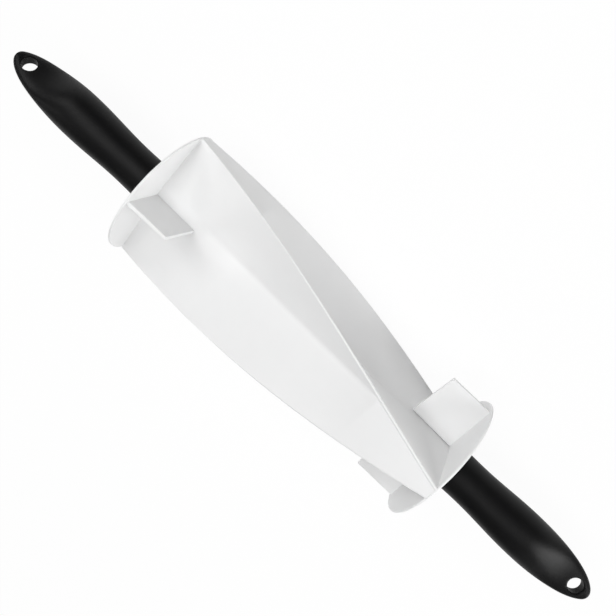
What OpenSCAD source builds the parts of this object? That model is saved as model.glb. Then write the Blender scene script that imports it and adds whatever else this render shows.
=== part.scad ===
// Croissant cutter roller. A hollow white roller with four zig-zag cutting ridges turns freely
// on a steel axle between two black handles. X runs along the axle, Z is up, and the origin is
// on the axle at the middle of the roller. All lengths are in millimetres.

/* [Roller] */

// Outside diameter over the cutting ridges
roller_d = 73; // [50:0.5:110]
// Length of the roller over its end plates
roller_len = 190; // [120:1:280]
// Turn of the top ridge away from straight up, as the roller rests
rest_turn = 45; // [0:1:90]
// Angle that each ridge winds around the roller
ridge_turn = 81; // [60:1:88]
// Width of a ridge along its cutting edge
ridge_w = 1; // [0.6:0.1:3]
// Distance from the axle to the pocket floor at the wide end of a pocket
floor_r = 9.6; // [9.4:0.1:14]
// Lean of a pocket valley toward the nearer ridge, where it has risen
valley_lean = 23; // [10:1:26]
// Extra lean of a valley along the pocket floor
floor_lean = 10; // [0:1:12]
// Part of the roller along which a valley stays level
level_share = 0.28; // [0:0.02:0.5]
// Part of the roller at which a valley has risen to the ridge
rise_share = 0.76; // [0.6:0.02:0.95]
// How late a valley rises between those two
rise_power = 1.3; // [1:0.1:3]
// Depth of the narrow end of a pocket, as a part of its flat
flat_share = 0.99; // [0.9:0.01:1]
// Wall of the two half shells
shell_wall = 1.6; // [1:0.1:2]
// Steps along a half shell
shell_steps = 21; // [12:1:48]

/* [End plates] */

// Thickness of an end plate
plate_t = 1.2; // [1:0.1:4]
// Distance of a plate's rim below the ridges
plate_drop = 0.6; // [0:0.1:2]
// Thickness of a slit fin
fin_t = 2; // [1:0.1:4]
// Length of a slit fin along its edge, from the outer face of the plate
fin_len = 24.5; // [10:0.5:40]
// Extra length of a slit fin at its root
fin_draft = 2; // [0:0.5:5]
// Distance of a fin's edge below the ridges
fin_drop = 2; // [0:0.1:3]
// Diameter of the hub that holds a bush
hub_d = 11; // [10.6:0.1:11.2]
// Length of the hub behind the plate
hub_len = 13; // [6:1:30]

/* [Axle and bearings] */

// Diameter of the axle
axle_d = 6; // [4:0.5:6.5]
// Wall of a bush
bush_wall = 1.2; // [0.8:0.1:1.5]
// Length of a bush behind its flange
bush_len = 13; // [6:1:25]
// Thickness of a bush flange
flange_t = 0.8; // [0.6:0.1:2]
// Height of the bush flange above the end plate
flange_proud = 0.2; // [0.1:0.05:0.3]
// Diameter of a bush flange and of a thrust washer
washer_d = 11.6; // [10.6:0.1:14]
// Thickness of a thrust washer
washer_t = 1; // [0.5:0.1:2]
// Lock nut across its flats
nut_across = 10; // [8:0.5:11]
// Thickness of a lock nut
nut_t = 3.2; // [2:0.1:5]
// Diameter of a threaded insert
insert_d = 9; // [8:0.5:11]
// Length of a threaded insert
insert_len = 15; // [8:1:30]

/* [Handles] */

// Length of a handle
handle_len = 99.5; // [70:0.5:140]
// Diameter of the grip where it is thickest
grip_d = 24.6; // [20:0.2:32]
// Diameter of the waist near the roller
waist_d = 22; // [18:0.1:26]
// Rise of the lip at the roller end of a handle
lip_rise = 0.3; // [0:0.05:1]
// Distance from the tip to the thickest place
nose_len = 45; // [30:1:60]
// Fullness of the rounded nose
nose_power = 2.3; // [1.8:0.1:3]
// Length of the taper from the thickest place to the waist
taper_len = 35; // [20:1:50]
// Thickness of the flat tongue at the tip
tongue_t = 7; // [5:0.5:10]
// Length of the flat tongue
tongue_len = 15; // [12:0.5:25]
// Length over which the tongue swells to the round grip
blend_len = 30; // [15:1:45]
// Diameter of the hanging hole
hang_d = 8; // [4:0.1:9]
// Distance from the tip to the hanging hole
hang_in = 9; // [7:0.1:15]
// Turn of the left tongue away from level
left_turn = 45; // [-90:1:90]
// Turn of the right tongue away from level
right_turn = 15; // [-90:1:90]

/* [Fits] */

// Radial clearance between axle and bush
run_gap = 0.05; // [0.02:0.01:0.1]
// Clearance of pieces that are fixed to each other
seat_gap = 0.02; // [0.01:0.01:0.05]
// Gap between the handle and the turning end plate
end_gap = 0.5; // [0.3:0.1:1]
// Play between bush flange and thrust washer
end_play = 0.3; // [0.3:0.05:0.5]
// Clearance of a washer on the axle
washer_gap = 0.2; // [0.1:0.05:0.4]
// Clearance of a fin above the pocket floor
fin_seat = 0.2; // [0.15:0.05:0.4]
// Air behind the end of the axle in a handle
axle_air = 2; // [1:0.5:5]
// Clearance around washer and nut in the handle's recess
recess_gap = 0.5; // [0.3:0.1:1]
// Overrun of every cut past the face that it opens
cut_over = 1; // [0.5:0.5:3]
// Facets that a circle is drawn with
round_steps = 96; // [48:4:160]

/* [Hidden] */

$fn = round_steps;

roller_r = roller_d / 2;
plate_r = roller_r - plate_drop;
plate_x = roller_len / 2;
shell_x = plate_x - plate_t;
flange_x = plate_x + flange_proud;
barrel_x = flange_x - flange_t;
washer_x = flange_x + end_play;
nut_x = washer_x + washer_t;
insert_x = nut_x + nut_t;
axle_x = insert_x + insert_len + axle_air;
handle_x = plate_x + end_gap;
tip_x = handle_x + handle_len;
axle_r = axle_d / 2;
bush_r = axle_r + run_gap + bush_wall;
recess_r = max(washer_d / 2, nut_across / sqrt(3)) + recess_gap;
edge_turn = asin(ridge_w / 2 / roller_r);
white = [0.93, 0.93, 0.92];
black = [0.06, 0.06, 0.06];
steel = [0.72, 0.73, 0.75];
brass = [0.78, 0.62, 0.32];
ivory = [0.86, 0.84, 0.78];

// Half the angle of a pocket at a share of its length, from its wide end
function pocket(t) = 45 + ridge_turn * (0.5 - t);

// Distance from the axle to a valley that rises freely from the pocket floor
function risen(t) = min(1, max(0, (t - level_share) / (rise_share - level_share)));
function open_r(t) = floor_r + (roller_r - floor_r) * pow(risen(t), rise_power);

// Lean of the valley at that share, kept beside the nearer ridge
function lean(t) = min(valley_lean + floor_lean * pow(floor_r / open_r(t), 2), pocket(t) - 2 * edge_turn);

// Distance from the axle to the valley, never above the flat between its ridges
function flat_r(t) = flat_share * roller_r * cos(pocket(t)) / cos(lean(t));
function valley_r(t) = t < 0.5 ? open_r(t) : min(open_r(t), flat_r(t));

// Angle at a ridge between the way to the axle and the flank down to a valley
function flank(r, turn) = atan2(r * sin(turn), roller_r - r * cos(turn));

// Sine of the angle at a valley between the way to the axle and a flank
function foot(r, turn) =
    roller_r * sin(turn) / sqrt(roller_r * roller_r + r * r - 2 * roller_r * r * cos(turn));

// Hollow under the steep ridge, under the wide ridges and under a valley, one wall inside the flanks
function steep_in(t) = roller_r - shell_wall / sin(min(
    flank(valley_r(t), pocket(t) - lean(t)),
    flank(valley_r(1 - t), pocket(1 - t) - lean(1 - t))));
function wide_in(t) = roller_r - shell_wall / sin(min(
    flank(valley_r(t), pocket(t) + lean(t)),
    flank(valley_r(1 - t), pocket(1 - t) + lean(1 - t))));
function valley_in(t) = min(wide_in(t), steep_in(t), valley_r(t) - shell_wall / min(
    foot(valley_r(t), pocket(t) - lean(t)), foot(valley_r(t), pocket(t) + lean(t))));

// Floor under a slit fin, on the middle line of a pocket
function floor_at(t) = let (
    high = valley_r(t) * cos(lean(t)), side = valley_r(t) * sin(lean(t)),
    low = roller_r * cos(pocket(t)), span = roller_r * sin(pocket(t)))
    high + (low - high) * side / (side + span);

// A point at a distance from the axle and a turn from the top ridge
function spot(x, r, turn) = [x, r * sin(turn + rest_turn), r * cos(turn + rest_turn)];

// Turn of the middle of a seam, moved off the ridge line by half of the seam's clearance
function seam(r) = asin(seat_gap / 2 / r);

// One section of a half shell, first along its outside, then back along its inside
function section(x, t) = let (a = ridge_turn * (0.5 - t), rim = roller_r, wide = wide_in(t)) [
    spot(x, rim, -90 - a + seam(rim)),
    spot(x, rim, -90 - a + edge_turn),
    spot(x, valley_r(t), lean(t) - 45),
    spot(x, rim, a - edge_turn),
    spot(x, rim, a + edge_turn),
    spot(x, valley_r(1 - t), 45 - lean(1 - t)),
    spot(x, rim, 90 - a - edge_turn),
    spot(x, rim, 90 - a - seam(rim)),
    spot(x, wide, 90 - a - seam(wide)),
    spot(x, valley_in(1 - t), 45 - lean(1 - t)),
    spot(x, steep_in(t), a),
    spot(x, valley_in(t), lean(t) - 45),
    spot(x, wide, -90 - a + seam(wide))];

// Half of the hollow roller body, with one steep ridge along its middle
module half_shell() {
    rows = [for (i = [0 : shell_steps]) let (x = shell_x * (2 * i / shell_steps - 1))
        section(x, 0.5 + x / roller_len)];
    n = len(rows[0]);
    last = n * shell_steps;
    walls = [for (i = [0 : shell_steps - 1], j = [0 : n - 1])
        let (k = (j + 1) % n, a = i * n + j, b = i * n + k, c = a + n, d = b + n)
        each [[a, b, d], [a, d, c]]];
    ends = [[for (j = [n - 1 : -1 : 0]) j], [for (j = [0 : n - 1]) last + j]];
    color(white)
    polyhedron(points = [for (row = rows) each row], faces = concat(walls, ends), convexity = 8);
}

// A solid of revolution along X from one place to another
module round_bar(x_from, x_to, r) {
    translate([x_from, 0, 0])
    rotate([0, 90, 0])
    cylinder(h = x_to - x_from, r = r);
}

// The half turn that carries the right end plate to the left end
module to_left_end() {
    rotate(a = 180, v = [0, sin(rest_turn), cos(rest_turn)])
    children();
}

// One slit fin, standing on the middle line of a pocket
module slit_fin(turn) {
    foot_x = plate_x - fin_len - fin_draft;
    rotate([-turn - rest_turn, 0, 0])
    translate([0, fin_t / 2, 0])
    rotate([90, 0, 0])
    linear_extrude(height = fin_t)
    polygon([
        [shell_x + plate_t / 2, floor_at(plate_t / roller_len) + fin_seat],
        [shell_x + plate_t / 2, roller_r - fin_drop],
        [foot_x + fin_draft, roller_r - fin_drop],
        [foot_x, floor_at((plate_x - foot_x) / roller_len) + fin_seat]]);
}

// Round end plate with a hub for the bush and two slit fins
module end_plate() {
    color(white)
    difference() {
        union() {
            round_bar(shell_x, plate_x, plate_r);
            round_bar(shell_x - hub_len, plate_x - plate_t / 2, hub_d / 2);
            slit_fin(45);
            slit_fin(-135);
        }
        round_bar(shell_x - hub_len - cut_over, plate_x + cut_over, bush_r + seat_gap);
        round_bar(barrel_x - seat_gap, plate_x + cut_over, washer_d / 2 + seat_gap);
    }
}

// Flanged bearing bush
module bush() {
    color(ivory)
    difference() {
        union() {
            round_bar(barrel_x, flange_x, washer_d / 2);
            round_bar(barrel_x - bush_len, barrel_x + flange_t / 2, bush_r);
        }
        round_bar(barrel_x - bush_len - cut_over, flange_x + cut_over, axle_r + run_gap);
    }
}

// Steel rod through the roller into both handles
module axle_rod() {
    color(steel)
    round_bar(-axle_x + axle_air, axle_x - axle_air, axle_r);
}

// Washer between bush flange and lock nut
module thrust_washer() {
    color(steel)
    difference() {
        round_bar(washer_x, nut_x, washer_d / 2);
        round_bar(washer_x - cut_over, nut_x + cut_over, axle_r + washer_gap);
    }
}

// Thin hexagon nut that locks the handle on the axle
module lock_nut() {
    color(steel)
    difference() {
        translate([nut_x, 0, 0])
        rotate([0, 90, 0])
        cylinder(h = nut_t, r = nut_across / sqrt(3), $fn = 6);
        round_bar(nut_x - cut_over, insert_x + cut_over, axle_r + seat_gap);
    }
}

// Threaded insert in the handle
module insert() {
    color(brass)
    difference() {
        round_bar(insert_x, insert_x + insert_len, insert_d / 2);
        round_bar(insert_x - cut_over, insert_x + insert_len + cut_over, axle_r + seat_gap);
    }
}

// Radius of the grip behind its thickest place, by the distance from the tip
function swell(v) = (1 + cos(180 * v)) / 2;
function taper_r(v) = (waist_d + (grip_d - waist_d) * swell(v)) / 2;
function lip_r(v) = waist_d / 2 + lip_rise * (1 - swell(v));

// Outline of the grip from the tip to the roller end, as distances from axle and tip
function nose_pts() = [for (u = [0 : 6 : 90])
    [grip_d / 2 * sin(u), nose_len * (1 - pow(cos(u), 2 / nose_power))]];
function taper_pts() = [for (v = [0.1 : 0.1 : 1]) [taper_r(v), nose_len + taper_len * v]];
function lip_pts() = let (lip_len = handle_len - nose_len - taper_len)
    [for (v = [0.2 : 0.2 : 1]) [lip_r(v), nose_len + taper_len + lip_len * v]];

// Side outline of the tip: a flat tongue that swells to the round grip
function tongue_pts() = [for (v = [0 : 0.1 : 1])
    [tongue_len + blend_len * v, (tongue_t + (grip_d - tongue_t) * (1 - swell(v))) / 2]];

// Flat tongue and the length of grip behind it, as a bar across the handle
module tongue_bar() {
    upper = concat([[-cut_over, tongue_t / 2]], tongue_pts(),
        [[nose_len, grip_d / 2 + cut_over], [handle_len + cut_over, grip_d / 2 + cut_over]]);
    lower = [for (i = [len(upper) - 1 : -1 : 0]) [upper[i][0], -upper[i][1]]];
    translate([tip_x, grip_d, 0])
    rotate([90, 0, 0])
    mirror([1, 0, 0])
    linear_extrude(height = 2 * grip_d)
    polygon(concat(upper, lower));
}

// Black grip with a flat tongue and a hanging hole at its tip
module handle() {
    color(black)
    difference() {
        intersection() {
            translate([tip_x, 0, 0])
            rotate([0, -90, 0])
            rotate_extrude()
            polygon(concat(nose_pts(), taper_pts(), lip_pts(), [[0, handle_len]]));
            tongue_bar();
        }
        round_bar(handle_x - cut_over, insert_x, recess_r);
        round_bar(insert_x - cut_over, insert_x + insert_len, insert_d / 2 + seat_gap);
        round_bar(insert_x, axle_x, axle_r + seat_gap);
        translate([tip_x - hang_in, 0, -grip_d / 2])
        cylinder(h = grip_d, r = hang_d / 2);
    }
}

// The two ends of every piece that comes in pairs
module right_end_plate() { end_plate(); }
module left_end_plate() { to_left_end() end_plate(); }
module right_bush() { bush(); }
module left_bush() { rotate([0, 0, 180]) bush(); }
module right_thrust_washer() { thrust_washer(); }
module left_thrust_washer() { rotate([0, 0, 180]) thrust_washer(); }
module right_lock_nut() { lock_nut(); }
module left_lock_nut() { rotate([0, 0, 180]) lock_nut(); }
module right_insert() { insert(); }
module left_insert() { rotate([0, 0, 180]) insert(); }
module right_handle() { rotate([-right_turn, 0, 0]) handle(); }
module left_handle() { rotate([left_turn, 0, 180]) handle(); }
module front_shell() { half_shell(); }
module back_shell() { rotate([180, 0, 0]) half_shell(); }

front_shell();
back_shell();
left_end_plate();
right_end_plate();
left_bush();
right_bush();
axle_rod();
left_thrust_washer();
right_thrust_washer();
left_lock_nut();
right_lock_nut();
left_insert();
right_insert();
left_handle();
right_handle();
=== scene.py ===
import math

import bmesh
import bpy
from mathutils import Matrix, Vector


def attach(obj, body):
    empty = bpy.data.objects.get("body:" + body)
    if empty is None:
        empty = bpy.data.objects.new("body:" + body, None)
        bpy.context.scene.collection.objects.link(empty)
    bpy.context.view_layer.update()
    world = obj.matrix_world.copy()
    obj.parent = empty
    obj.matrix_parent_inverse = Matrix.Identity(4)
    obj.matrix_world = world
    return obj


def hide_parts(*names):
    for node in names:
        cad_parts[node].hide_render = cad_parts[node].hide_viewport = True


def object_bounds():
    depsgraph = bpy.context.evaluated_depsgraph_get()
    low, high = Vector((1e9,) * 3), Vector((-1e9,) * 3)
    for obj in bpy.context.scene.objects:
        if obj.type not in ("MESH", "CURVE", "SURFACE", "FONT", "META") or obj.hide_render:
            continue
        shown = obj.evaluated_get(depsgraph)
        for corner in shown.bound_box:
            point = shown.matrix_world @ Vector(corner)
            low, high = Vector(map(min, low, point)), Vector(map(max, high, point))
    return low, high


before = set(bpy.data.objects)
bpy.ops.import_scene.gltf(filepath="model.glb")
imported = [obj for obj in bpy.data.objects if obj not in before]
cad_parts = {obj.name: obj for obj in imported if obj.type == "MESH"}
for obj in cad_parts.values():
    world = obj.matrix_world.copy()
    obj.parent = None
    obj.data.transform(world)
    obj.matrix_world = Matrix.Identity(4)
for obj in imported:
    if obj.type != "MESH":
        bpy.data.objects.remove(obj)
cad_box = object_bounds()

# Sizes of the roller and its handles in millimetres, as the solids have them
ROLLER_R = 36.5
ROLLER_LEN = 190.0
REST_TURN = 45.0
RIDGE_TURN = 81.0
RIDGE_W = 1.0
FLOOR_R = 9.6
VALLEY_LEAN = 23.0
FLOOR_LEAN = 10.0
LEVEL_SHARE = 0.28
RISE_SHARE = 0.76
RISE_POWER = 1.3
FLAT_SHARE = 0.99
SHELL_WALL = 1.6
SEAT_GAP = 0.02
PLATE_T = 1.2
PLATE_R = 35.9
FIN_T = 2.0
FIN_LEN = 24.5
FIN_DRAFT = 2.0
FIN_DROP = 2.0
FIN_SEAT = 0.2
HUB_R = 5.5
HUB_LEN = 13.0
BUSH_R = 4.25
FLANGE_R = 5.8
FLANGE_T = 0.8
FLANGE_PROUD = 0.2
END_GAP = 0.5
HANDLE_LEN = 99.5
GRIP_D = 24.6
WAIST_D = 22.0
LIP_RISE = 0.3
NOSE_LEN = 45.0
NOSE_POWER = 2.3
TAPER_LEN = 35.0
TONGUE_T = 7.0
TONGUE_LEN = 15.0
BLEND_LEN = 30.0
HANG_R = 4.0
HANG_IN = 9.0
LEFT_TURN = 45.0
RIGHT_TURN = 15.0
RECESS_R = 6.3
RECESS_LEN = 4.2
INSERT_R = 4.52
INSERT_LEN = 15.0
AXLE_R = 3.02
AXLE_AIR = 2.0

# Places along the axle, from the middle of the roller
PLATE_X = ROLLER_LEN / 2
SHELL_X = PLATE_X - PLATE_T
BARREL_X = PLATE_X + FLANGE_PROUD - FLANGE_T
HANDLE_X = PLATE_X + END_GAP
TIP_X = HANDLE_X + HANDLE_LEN
INSERT_X = HANDLE_X + RECESS_LEN
INSERT_END = INSERT_X + INSERT_LEN
AXLE_X = INSERT_END + AXLE_AIR

# Small roundings that only the looks have
CREST_ROUND = 0.4
CREASE_ROUND = 1.4
RIM_ROUND = 0.5
HUB_ROUND = 0.3
BORE_ROUND = 0.15
FIN_ROUND = 0.35
GRIP_END_ROUND = 1.2
RECESS_ROUND = 0.3
HOLE_ROUND = 1.3
HOLE_OVER = 0.12

EDGE_TURN = math.degrees(math.asin(RIDGE_W / 2 / ROLLER_R))
MM = 0.001


def sind(a):
    return math.sin(math.radians(a))


def cosd(a):
    return math.cos(math.radians(a))


def clamp(v, low=0.0, high=1.0):
    return min(high, max(low, v))


# The pockets between the cutting ridges


def pocket(t):
    return 45 + RIDGE_TURN * (0.5 - t)


def open_r(t):
    risen = clamp((t - LEVEL_SHARE) / (RISE_SHARE - LEVEL_SHARE))
    return FLOOR_R + (ROLLER_R - FLOOR_R) * risen ** RISE_POWER


def lean(t):
    return min(VALLEY_LEAN + FLOOR_LEAN * (FLOOR_R / open_r(t)) ** 2, pocket(t) - 2 * EDGE_TURN)


def valley_r(t):
    if t < 0.5:
        return open_r(t)
    return min(open_r(t), FLAT_SHARE * ROLLER_R * cosd(pocket(t)) / cosd(lean(t)))


def floor_at(t):
    high, side = valley_r(t) * cosd(lean(t)), valley_r(t) * sind(lean(t))
    low, span = ROLLER_R * cosd(pocket(t)), ROLLER_R * sind(pocket(t))
    return high + (low - high) * side / (side + span)


def spot(r, turn):
    return Vector((r * sind(turn + REST_TURN), r * cosd(turn + REST_TURN)))


def rounded(corner, before, after, reach, steps):
    """Points of an arc that rounds a corner, from a reach before it to a reach after it."""
    u, v = (before - corner), (after - corner)
    reach = min(reach, 0.4 * u.length, 0.4 * v.length)
    a, b = corner + u.normalized() * reach, corner + v.normalized() * reach
    pts = []
    for i in range(steps + 1):
        w = i / steps
        pts.append(a * (1 - w) ** 2 + corner * 2 * w * (1 - w) + b * w ** 2)
    return pts


# Shares of a flank at which it has points, closer together beside its two roundings
FLANK_SHARES = (0.012, 0.05, 0.15, 0.32, 0.5, 0.68, 0.85, 0.95, 0.988)


def flank(r, turn):
    """Angle at a ridge between the way to the axle and the flank down to a valley."""
    return math.atan2(r * sind(turn), ROLLER_R - r * cosd(turn))


def foot(r, turn):
    """Sine of the angle at a valley between the way to the axle and a flank."""
    return ROLLER_R * sind(turn) / math.sqrt(ROLLER_R ** 2 + r * r - 2 * ROLLER_R * r * cosd(turn))


def steep_in(t):
    return ROLLER_R - SHELL_WALL / math.sin(min(
        flank(valley_r(t), pocket(t) - lean(t)),
        flank(valley_r(1 - t), pocket(1 - t) - lean(1 - t))))


def wide_in(t):
    return ROLLER_R - SHELL_WALL / math.sin(min(
        flank(valley_r(t), pocket(t) + lean(t)),
        flank(valley_r(1 - t), pocket(1 - t) + lean(1 - t))))


def valley_in(t):
    return min(wide_in(t), steep_in(t), valley_r(t) - SHELL_WALL / min(
        foot(valley_r(t), pocket(t) - lean(t)), foot(valley_r(t), pocket(t) + lean(t))))


def seam(r):
    return math.degrees(math.asin(SEAT_GAP / 2 / r))


def shell_section(x):
    """Outside and inside points of half of the roller at one place along the axle."""
    t = 0.5 + x / ROLLER_LEN
    a = RIDGE_TURN * (0.5 - t)
    corners = [
        (spot(ROLLER_R, -90 - a + seam(ROLLER_R)), 0),
        (spot(ROLLER_R, -90 - a + EDGE_TURN), CREST_ROUND),
        (spot(valley_r(t), lean(t) - 45), CREASE_ROUND),
        (spot(ROLLER_R, a - EDGE_TURN), CREST_ROUND),
        (spot(ROLLER_R, a + EDGE_TURN), CREST_ROUND),
        (spot(valley_r(1 - t), 45 - lean(1 - t)), CREASE_ROUND),
        (spot(ROLLER_R, 90 - a - EDGE_TURN), CREST_ROUND),
        (spot(ROLLER_R, 90 - a - seam(ROLLER_R)), 0),
    ]
    arcs = [[corners[0][0]]]
    for i in range(1, len(corners) - 1):
        corner, reach = corners[i]
        steps = 6 if reach == CREASE_ROUND else 4
        arcs.append(rounded(corner, corners[i - 1][0], corners[i + 1][0], reach, steps))
    arcs.append([corners[-1][0]])
    outside = []
    for i, arc in enumerate(arcs):
        outside += arc
        if i in (1, 2, 4, 5):
            outside += [arc[-1].lerp(arcs[i + 1][0], share) for share in FLANK_SHARES]
    wide = wide_in(t)
    inside = [
        spot(wide, 90 - a - seam(wide)),
        spot(valley_in(1 - t), 45 - lean(1 - t)),
        spot(steep_in(t), a),
        spot(valley_in(t), lean(t) - 45),
        spot(wide, -90 - a + seam(wide)),
    ]
    return outside + inside


def mesh_object(name, verts, faces):
    mesh = bpy.data.meshes.new(name)
    mesh.from_pydata([[c * MM for c in v] for v in verts], [], faces)
    mesh.validate()
    obj = bpy.data.objects.new(name, mesh)
    bpy.context.scene.collection.objects.link(obj)
    return obj


def clean(obj, angle=35):
    """Outward normals and smooth faces with sharp edges where the shape has them."""
    bm = bmesh.new()
    bm.from_mesh(obj.data)
    bmesh.ops.remove_doubles(bm, verts=bm.verts, dist=1e-6)
    bmesh.ops.recalc_face_normals(bm, faces=bm.faces)
    for f in bm.faces:
        f.smooth = True
    for e in bm.edges:
        e.smooth = len(e.link_faces) != 2 or e.calc_face_angle(0.0) < math.radians(angle)
    bm.to_mesh(obj.data)
    bm.free()
    weighted = obj.modifiers.new("weighted_normals", "WEIGHTED_NORMAL")
    weighted.keep_sharp = True
    return obj


def half_shell(name, turned):
    steps = 190
    rows = []
    for i in range(steps + 1):
        x = SHELL_X * (2 * i / steps - 1)
        sign = -1 if turned else 1
        rows.append([(x, sign * p[0], sign * p[1]) for p in shell_section(x)])
    n = len(rows[0])
    verts = [v for row in rows for v in row]
    faces = []
    for i in range(steps):
        for j in range(n):
            k = (j + 1) % n
            faces.append((i * n + j, i * n + k, (i + 1) * n + k, (i + 1) * n + j))
    faces.append(tuple(reversed(range(n))))
    faces.append(tuple(steps * n + j for j in range(n)))
    return clean(mesh_object(name, verts, faces))


def lathe(name, profile, segments=128):
    """Closed solid turned around X from a closed profile of (x, r) points."""
    verts, faces = [], []
    n = len(profile)
    for i in range(segments):
        a = 2 * math.pi * i / segments
        verts += [(x, r * math.sin(a), r * math.cos(a)) for x, r in profile]
    for i in range(segments):
        for j in range(n):
            k = (j + 1) % n
            m = (i + 1) % segments
            faces.append((i * n + j, i * n + k, m * n + k, m * n + j))
    return mesh_object(name, verts, faces)


def round_profile(points, steps=4):
    """Rounds each (x, r, radius) corner of a closed profile."""
    out = []
    n = len(points)
    for i, (x, r, radius) in enumerate(points):
        c = Vector((x, r))
        if radius == 0:
            out.append((x, r))
            continue
        b, a = Vector(points[i - 1][:2]), Vector(points[(i + 1) % n][:2])
        out += [(p[0], p[1]) for p in rounded(c, b, a, radius, steps)]
    return out


def united(obj, others, operation="UNION"):
    """obj joined with, or cut by, the others as one closed mesh."""
    for other in others:
        mod = obj.modifiers.new("join", "BOOLEAN")
        mod.operation = operation
        mod.solver = "EXACT"
        mod.object = other
    dg = bpy.context.evaluated_depsgraph_get()
    mesh = bpy.data.meshes.new_from_object(obj.evaluated_get(dg))
    obj.modifiers.clear()
    obj.data = mesh
    for other in others:
        bpy.data.objects.remove(other)
    return obj


def fin(turn):
    """One slit fin with softened edges, on the middle line of a pocket."""
    foot_x = PLATE_X - FIN_LEN - FIN_DRAFT
    outline = [
        (SHELL_X + PLATE_T / 2, floor_at(PLATE_T / ROLLER_LEN) + FIN_SEAT),
        (SHELL_X + PLATE_T / 2, ROLLER_R - FIN_DROP),
        (foot_x + FIN_DRAFT, ROLLER_R - FIN_DROP),
        (foot_x, floor_at((PLATE_X - foot_x) / ROLLER_LEN) + FIN_SEAT),
    ]
    out_y, out_z = sind(turn + REST_TURN), cosd(turn + REST_TURN)
    verts = []
    for side in (-FIN_T / 2, FIN_T / 2):
        verts += [(x, r * out_y + side * out_z, r * out_z - side * out_y) for x, r in outline]
    faces = [(0, 1, 2, 3), (7, 6, 5, 4), (0, 4, 5, 1), (1, 5, 6, 2), (2, 6, 7, 3), (3, 7, 4, 0)]
    obj = mesh_object("fin", verts, faces)
    bm = bmesh.new()
    bm.from_mesh(obj.data)
    bmesh.ops.recalc_face_normals(bm, faces=bm.faces)
    bmesh.ops.bevel(bm, geom=list(bm.edges), offset=FIN_ROUND * MM, segments=3, profile=0.5,
                      affect="EDGES")
    bm.to_mesh(obj.data)
    bm.free()
    return obj


def end_plate(name, left):
    profile = round_profile([
        (SHELL_X - HUB_LEN, BUSH_R + SEAT_GAP, 0),
        (BARREL_X - SEAT_GAP, BUSH_R + SEAT_GAP, 0),
        (BARREL_X - SEAT_GAP, FLANGE_R + SEAT_GAP, 0),
        (PLATE_X, FLANGE_R + SEAT_GAP, BORE_ROUND),
        (PLATE_X, PLATE_R, RIM_ROUND),
        (SHELL_X, PLATE_R, RIM_ROUND),
        (SHELL_X, HUB_R, RIM_ROUND),
        (SHELL_X - HUB_LEN, HUB_R, HUB_ROUND),
    ])
    obj = lathe(name, profile, 192)
    united(obj, [fin(45), fin(-135)])
    if left:
        axis = Vector((0, sind(REST_TURN), cosd(REST_TURN)))
        obj.data.transform(Matrix.Rotation(math.pi, 4, axis))
    return clean(obj)


def swell(v):
    return (1 + math.cos(math.pi * v)) / 2


def grip_r(d):
    """Radius of the round grip at a distance from the tip."""
    if d < NOSE_LEN:
        c = clamp(1 - d / NOSE_LEN) ** (NOSE_POWER / 2)
        return GRIP_D / 2 * math.sqrt(max(0.0, 1 - c * c))
    if d < NOSE_LEN + TAPER_LEN:
        return (WAIST_D + (GRIP_D - WAIST_D) * swell((d - NOSE_LEN) / TAPER_LEN)) / 2
    lip_len = HANDLE_LEN - NOSE_LEN - TAPER_LEN
    return WAIST_D / 2 + LIP_RISE * (1 - swell((d - NOSE_LEN - TAPER_LEN) / lip_len))


def tongue_h(d):
    """Half thickness of the tongue at a distance from the tip."""
    if d < TONGUE_LEN:
        return TONGUE_T / 2
    if d < TONGUE_LEN + BLEND_LEN:
        v = (d - TONGUE_LEN) / BLEND_LEN
        return (TONGUE_T + (GRIP_D - TONGUE_T) * (1 - swell(v))) / 2
    return GRIP_D


def oval(r, h, a):
    """Point of a section of half width r and half height h, round where the two are the same."""
    power = 2 + 0.8 * (1 - h / r)
    side, high = abs(math.sin(a)), abs(math.cos(a))
    scale = (side ** power + high ** power) ** (-1 / power)
    return r * scale * math.sin(a), h * scale * math.cos(a)


def grip_rings():
    """Rings of (x, half width, half height) from the tip over the grip and into its recess."""
    places = [0.02 * 1.35 ** i for i in range(17)]
    while places[-1] < HANDLE_LEN - 1.6:
        places.append(places[-1] + 1.2)
    rings = [(TIP_X - d, grip_r(d), tongue_h(d)) for d in places if d < HANDLE_LEN - 1.3]
    for i in range(7):
        u = 15 * i
        rings.append((HANDLE_X + GRIP_END_ROUND * (1 - sind(u)),
                      grip_r(HANDLE_LEN) - GRIP_END_ROUND * (1 - cosd(u)), GRIP_D))
    inner = ((HANDLE_X, RECESS_R + RECESS_ROUND), (HANDLE_X + RECESS_ROUND, RECESS_R), (INSERT_X, RECESS_R),
             (INSERT_X, INSERT_R), (INSERT_END, INSERT_R), (INSERT_END, AXLE_R), (AXLE_X, AXLE_R))
    return rings + [(x, r, GRIP_D) for x, r in inner]


def ring_faces(rows, n):
    """Faces between neighbouring rings of n points each."""
    faces = []
    for i in range(rows - 1):
        for j in range(n):
            k = (j + 1) % n
            faces.append((i * n + j, i * n + k, (i + 1) * n + k, (i + 1) * n + j))
    return faces


def hole_cutter(n=64):
    """Solid that cuts the hanging hole with rounded rims."""
    half = [(0, HANG_R)]
    for i in range(9):
        u = 86 * i / 8
        half.append((TONGUE_T / 2 - HOLE_ROUND * (1 - sind(u)), HANG_R + HOLE_ROUND * (1 - cosd(u))))
    z, r = half[-1]
    half.append((z + HOLE_OVER, r + HOLE_OVER / math.tan(math.radians(90 - 86))))
    profile = [(-z, r) for z, r in reversed(half[1:])] + half
    verts = []
    for z, r in profile:
        for i in range(n):
            a = 2 * math.pi * i / n
            verts.append((TIP_X - HANG_IN + r * math.cos(a), r * math.sin(a), z))
    faces = ring_faces(len(profile), n)
    faces.append(tuple(reversed(range(n))))
    faces.append(tuple((len(profile) - 1) * n + j for j in range(n)))
    return mesh_object("cutter", verts, faces)


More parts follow.
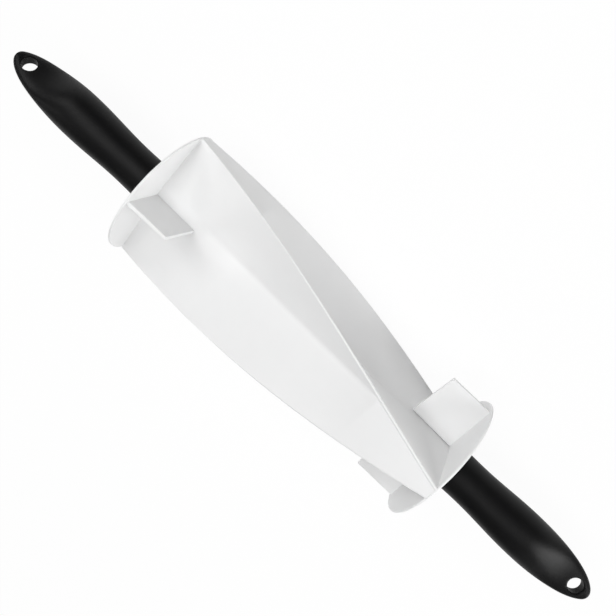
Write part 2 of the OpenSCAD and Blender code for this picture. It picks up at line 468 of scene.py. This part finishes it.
def handle(name, left, n=128):
    rings = grip_rings()
    verts = []
    for x, r, h in rings:
        for i in range(n):
            verts.append((x, *oval(r, min(r, h), 2 * math.pi * i / n)))
    faces = ring_faces(len(rings), n)
    tip, end, last = len(verts), len(verts) + 1, (len(rings) - 1) * n
    verts += [(TIP_X, 0, 0), (AXLE_X, 0, 0)]
    for j in range(n):
        k = (j + 1) % n
        faces.append((tip, k, j))
        faces.append((end, last + j, last + k))
    obj = mesh_object(name, verts, faces)
    bm = bmesh.new()
    bm.from_mesh(obj.data)
    bmesh.ops.recalc_face_normals(bm, faces=bm.faces)
    bm.to_mesh(obj.data)
    bm.free()
    united(obj, [hole_cutter()], "DIFFERENCE")
    if left:
        obj.data.transform(Matrix.Rotation(math.pi, 4, "Z"))
    turn = LEFT_TURN if left else RIGHT_TURN
    obj.data.transform(Matrix.Rotation(math.radians(-turn), 4, "X"))
    return clean(obj, 50)


# Materials


def material(name):
    mat = bpy.data.materials.new(name)
    mat.use_nodes = True
    tree = mat.node_tree
    return mat, tree, tree.nodes["Principled BSDF"]


def noise(tree, scale, detail=2.0, rough=0.5):
    coord = tree.nodes.new("ShaderNodeTexCoord")
    node = tree.nodes.new("ShaderNodeTexNoise")
    node.inputs["Scale"].default_value = scale
    node.inputs["Detail"].default_value = detail
    node.inputs["Roughness"].default_value = rough
    tree.links.new(coord.outputs["Object"], node.inputs["Vector"])
    return node.outputs["Fac"]


def ramp(tree, value, stops):
    node = tree.nodes.new("ShaderNodeValToRGB")
    while len(node.color_ramp.elements) < len(stops):
        node.color_ramp.elements.new(0.5)
    for e, (pos, col) in zip(node.color_ramp.elements, stops):
        e.position = pos
        e.color = (*col, 1) if len(col) == 3 else col
    tree.links.new(value, node.inputs["Fac"])
    return node.outputs["Color"]


def spread(tree, value, low, high):
    node = tree.nodes.new("ShaderNodeMapRange")
    node.inputs["To Min"].default_value = low
    node.inputs["To Max"].default_value = high
    tree.links.new(value, node.inputs["Value"])
    return node.outputs["Result"]


def bump(tree, shader, layers):
    """Stacks fine reliefs of (height, strength, depth in metres)."""
    normal = None
    for height, strength, depth in layers:
        node = tree.nodes.new("ShaderNodeBump")
        node.inputs["Strength"].default_value = strength
        node.inputs["Distance"].default_value = depth
        tree.links.new(height, node.inputs["Height"])
        if normal is not None:
            tree.links.new(normal, node.inputs["Normal"])
        normal = node.outputs["Normal"]
    tree.links.new(normal, shader.inputs["Normal"])


def white_plastic():
    mat, tree, shader = material("white_plastic")
    tree.links.new(ramp(tree, noise(tree, 22, 4, 0.6), [
        (0.3, (0.855, 0.857, 0.858)), (0.7, (0.885, 0.886, 0.885))]), shader.inputs["Base Color"])
    tree.links.new(spread(tree, noise(tree, 70, 5, 0.65), 0.36, 0.52), shader.inputs["Roughness"])
    shader.inputs["Specular IOR Level"].default_value = 0.4
    bump(tree, shader, [(noise(tree, 90, 3), 0.25, 0.0002), (noise(tree, 1600, 2), 0.12, 0.00004)])
    return mat


def black_plastic():
    mat, tree, shader = material("black_plastic")
    tree.links.new(ramp(tree, noise(tree, 40, 4, 0.6), [
        (0.3, (0.0022, 0.0022, 0.0024)), (0.7, (0.0042, 0.0042, 0.0044))]), shader.inputs["Base Color"])
    tree.links.new(spread(tree, noise(tree, 120, 5, 0.65), 0.4, 0.52), shader.inputs["Roughness"])
    shader.inputs["Specular IOR Level"].default_value = 0.15
    bump(tree, shader, [(noise(tree, 1300, 3), 0.3, 0.00006), (noise(tree, 60, 2), 0.15, 0.0002)])
    return mat


def ivory_plastic():
    mat, tree, shader = material("ivory_plastic")
    tree.links.new(ramp(tree, noise(tree, 60, 4), [
        (0.3, (0.62, 0.60, 0.53)), (0.7, (0.68, 0.66, 0.58))]), shader.inputs["Base Color"])
    tree.links.new(spread(tree, noise(tree, 300, 4), 0.25, 0.4), shader.inputs["Roughness"])
    bump(tree, shader, [(noise(tree, 900, 3), 0.15, 0.00004)])
    return mat


def turned_metal(name, dark, light):
    mat, tree, shader = material(name)
    coord = tree.nodes.new("ShaderNodeTexCoord")
    mapping = tree.nodes.new("ShaderNodeMapping")
    mapping.inputs["Scale"].default_value = (12, 1, 1)
    rings = tree.nodes.new("ShaderNodeTexNoise")
    rings.inputs["Scale"].default_value = 250
    rings.inputs["Detail"].default_value = 4
    tree.links.new(coord.outputs["Object"], mapping.inputs["Vector"])
    tree.links.new(mapping.outputs["Vector"], rings.inputs["Vector"])
    tree.links.new(ramp(tree, rings.outputs["Fac"], [(0.3, dark), (0.7, light)]),
                   shader.inputs["Base Color"])
    tree.links.new(spread(tree, rings.outputs["Fac"], 0.25, 0.4), shader.inputs["Roughness"])
    shader.inputs["Metallic"].default_value = 1.0
    bump(tree, shader, [(rings.outputs["Fac"], 0.2, 0.00005)])
    return mat


WHITE = white_plastic()
BLACK = black_plastic()
IVORY = ivory_plastic()
STEEL = turned_metal("turned_steel", (0.46, 0.47, 0.49), (0.58, 0.59, 0.61))
BRASS = turned_metal("turned_brass", (0.50, 0.34, 0.10), (0.62, 0.43, 0.15))


def dress(obj, mat, node, body):
    obj.data.materials.clear()
    obj.data.materials.append(mat)
    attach(obj, body)
    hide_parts(node)


dress(half_shell("front_half", False), WHITE, "front_shell", "roller")
dress(half_shell("back_half", True), WHITE, "back_shell", "roller")
dress(end_plate("right_end", False), WHITE, "right_end_plate", "roller")
dress(end_plate("left_end", True), WHITE, "left_end_plate", "roller")
dress(handle("right_grip", False), BLACK, "right_handle", "handle_set")
dress(handle("left_grip", True), BLACK, "left_handle", "handle_set")

for node, mat in (("left_bush", IVORY), ("right_bush", IVORY), ("axle_rod", STEEL),
                  ("left_thrust_washer", STEEL), ("right_thrust_washer", STEEL),
                  ("left_lock_nut", STEEL), ("right_lock_nut", STEEL),
                  ("left_insert", BRASS), ("right_insert", BRASS)):
    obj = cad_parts[node]
    obj.data.materials.clear()
    obj.data.materials.append(mat)


# Camera over the far side of the roller, turned so that the axle runs from upper left to lower right

LENS_MM = 38.322
CAMERA_AT = Vector((-0.64, 133.63877, 296.76451)) * MM
RIGHT = Vector((0.72569, 0.6323, -0.27123))
UP = Vector((-0.68798, 0.67088, -0.27677))

camera_data = bpy.data.cameras.new("camera")
camera_data.sensor_width = 36
camera_data.lens = LENS_MM
camera_data.clip_start = 0.01
camera = bpy.data.objects.new("camera", camera_data)
bpy.context.scene.collection.objects.link(camera)
back = RIGHT.cross(UP).normalized()
right = UP.cross(back).normalized()
turned = Matrix((right, back.cross(right), back)).transposed().to_4x4()
camera.matrix_world = Matrix.Translation(CAMERA_AT) @ turned
bpy.context.scene.camera = camera


# Floor, world and lamps

floor_mesh = bpy.data.meshes.new("floor")
size, depth = 6.0, cad_box[0].z - 0.0002
floor_mesh.from_pydata([(-size, -size, depth), (size, -size, depth), (size, size, depth),
                        (-size, size, depth)], [], [(0, 1, 2, 3)])
floor = bpy.data.objects.new("floor", floor_mesh)
bpy.context.scene.collection.objects.link(floor)
mat = bpy.data.materials.new("floor")
mat.use_nodes = True
tree = mat.node_tree
shader = tree.nodes["Principled BSDF"]
shader.inputs["Roughness"].default_value = 0.9
shader.inputs["Specular IOR Level"].default_value = 0.0
tree.links.new(ramp(tree, noise(tree, 6, 3), [(0.3, (0.93, 0.93, 0.93)), (0.7, (0.95, 0.95, 0.95))]),
               shader.inputs["Base Color"])
glow = tree.nodes.new("ShaderNodeEmission")
glow.inputs["Strength"].default_value = 1.0
path = tree.nodes.new("ShaderNodeLightPath")
seen = tree.nodes.new("ShaderNodeMath")
seen.operation = "MULTIPLY"
seen.inputs[1].default_value = 0.94
tree.links.new(path.outputs["Is Camera Ray"], seen.inputs[0])
mix = tree.nodes.new("ShaderNodeMixShader")
tree.links.new(seen.outputs[0], mix.inputs["Fac"])
tree.links.new(shader.outputs["BSDF"], mix.inputs[1])
tree.links.new(glow.outputs["Emission"], mix.inputs[2])
tree.links.new(mix.outputs["Shader"], tree.nodes["Material Output"].inputs["Surface"])
floor_mesh.materials.append(mat)

world = bpy.data.worlds.new("world")
bpy.context.scene.world = world
world.use_nodes = True
tree = world.node_tree
background = tree.nodes["Background"]
background.inputs["Color"].default_value = (1, 1, 1, 1)
background.inputs["Strength"].default_value = 0.06
white = tree.nodes.new("ShaderNodeBackground")
white.inputs["Color"].default_value = (1, 1, 1, 1)
white.inputs["Strength"].default_value = 1.0
path = tree.nodes.new("ShaderNodeLightPath")
mix = tree.nodes.new("ShaderNodeMixShader")
tree.links.new(path.outputs["Is Camera Ray"], mix.inputs["Fac"])
tree.links.new(background.outputs["Background"], mix.inputs[1])
tree.links.new(white.outputs["Background"], mix.inputs[2])
tree.links.new(mix.outputs["Shader"], tree.nodes["World Output"].inputs["Surface"])


# Soft lamps above the roller and off its two ends: height and bearing in degrees, and watts
LAMPS = {
    "over_left": (78, 175, 4.1),
    "left": (36, 162, 3.7),
    "left_high": (57, 140, 2.4),
    "over_right": (78, 5, 2.3),
    "right": (36, 18, 3.9),
    "right_low": (14, 6, 6.2),
    "front_left": (30, 218, 1.5),
    "front": (38, 270, 0.6),
    "front_right": (30, 322, 0.7),
    "top": (67, 90, 0.7),
}
LAMP_FAR = 1.3
LAMP_SIZE = 0.5

for name, (height, bearing, watts) in LAMPS.items():
    data = bpy.data.lights.new(name, "AREA")
    data.size = LAMP_SIZE
    data.energy = watts
    obj = bpy.data.objects.new(name, data)
    bpy.context.scene.collection.objects.link(obj)
    way = Vector((cosd(height) * cosd(bearing), cosd(height) * sind(bearing), sind(height)))
    obj.location = way * LAMP_FAR
    obj.rotation_mode = "QUATERNION"
    obj.rotation_quaternion = (-way).to_track_quat("-Z", "Y")

bpy.context.scene.view_settings.view_transform = "Standard"
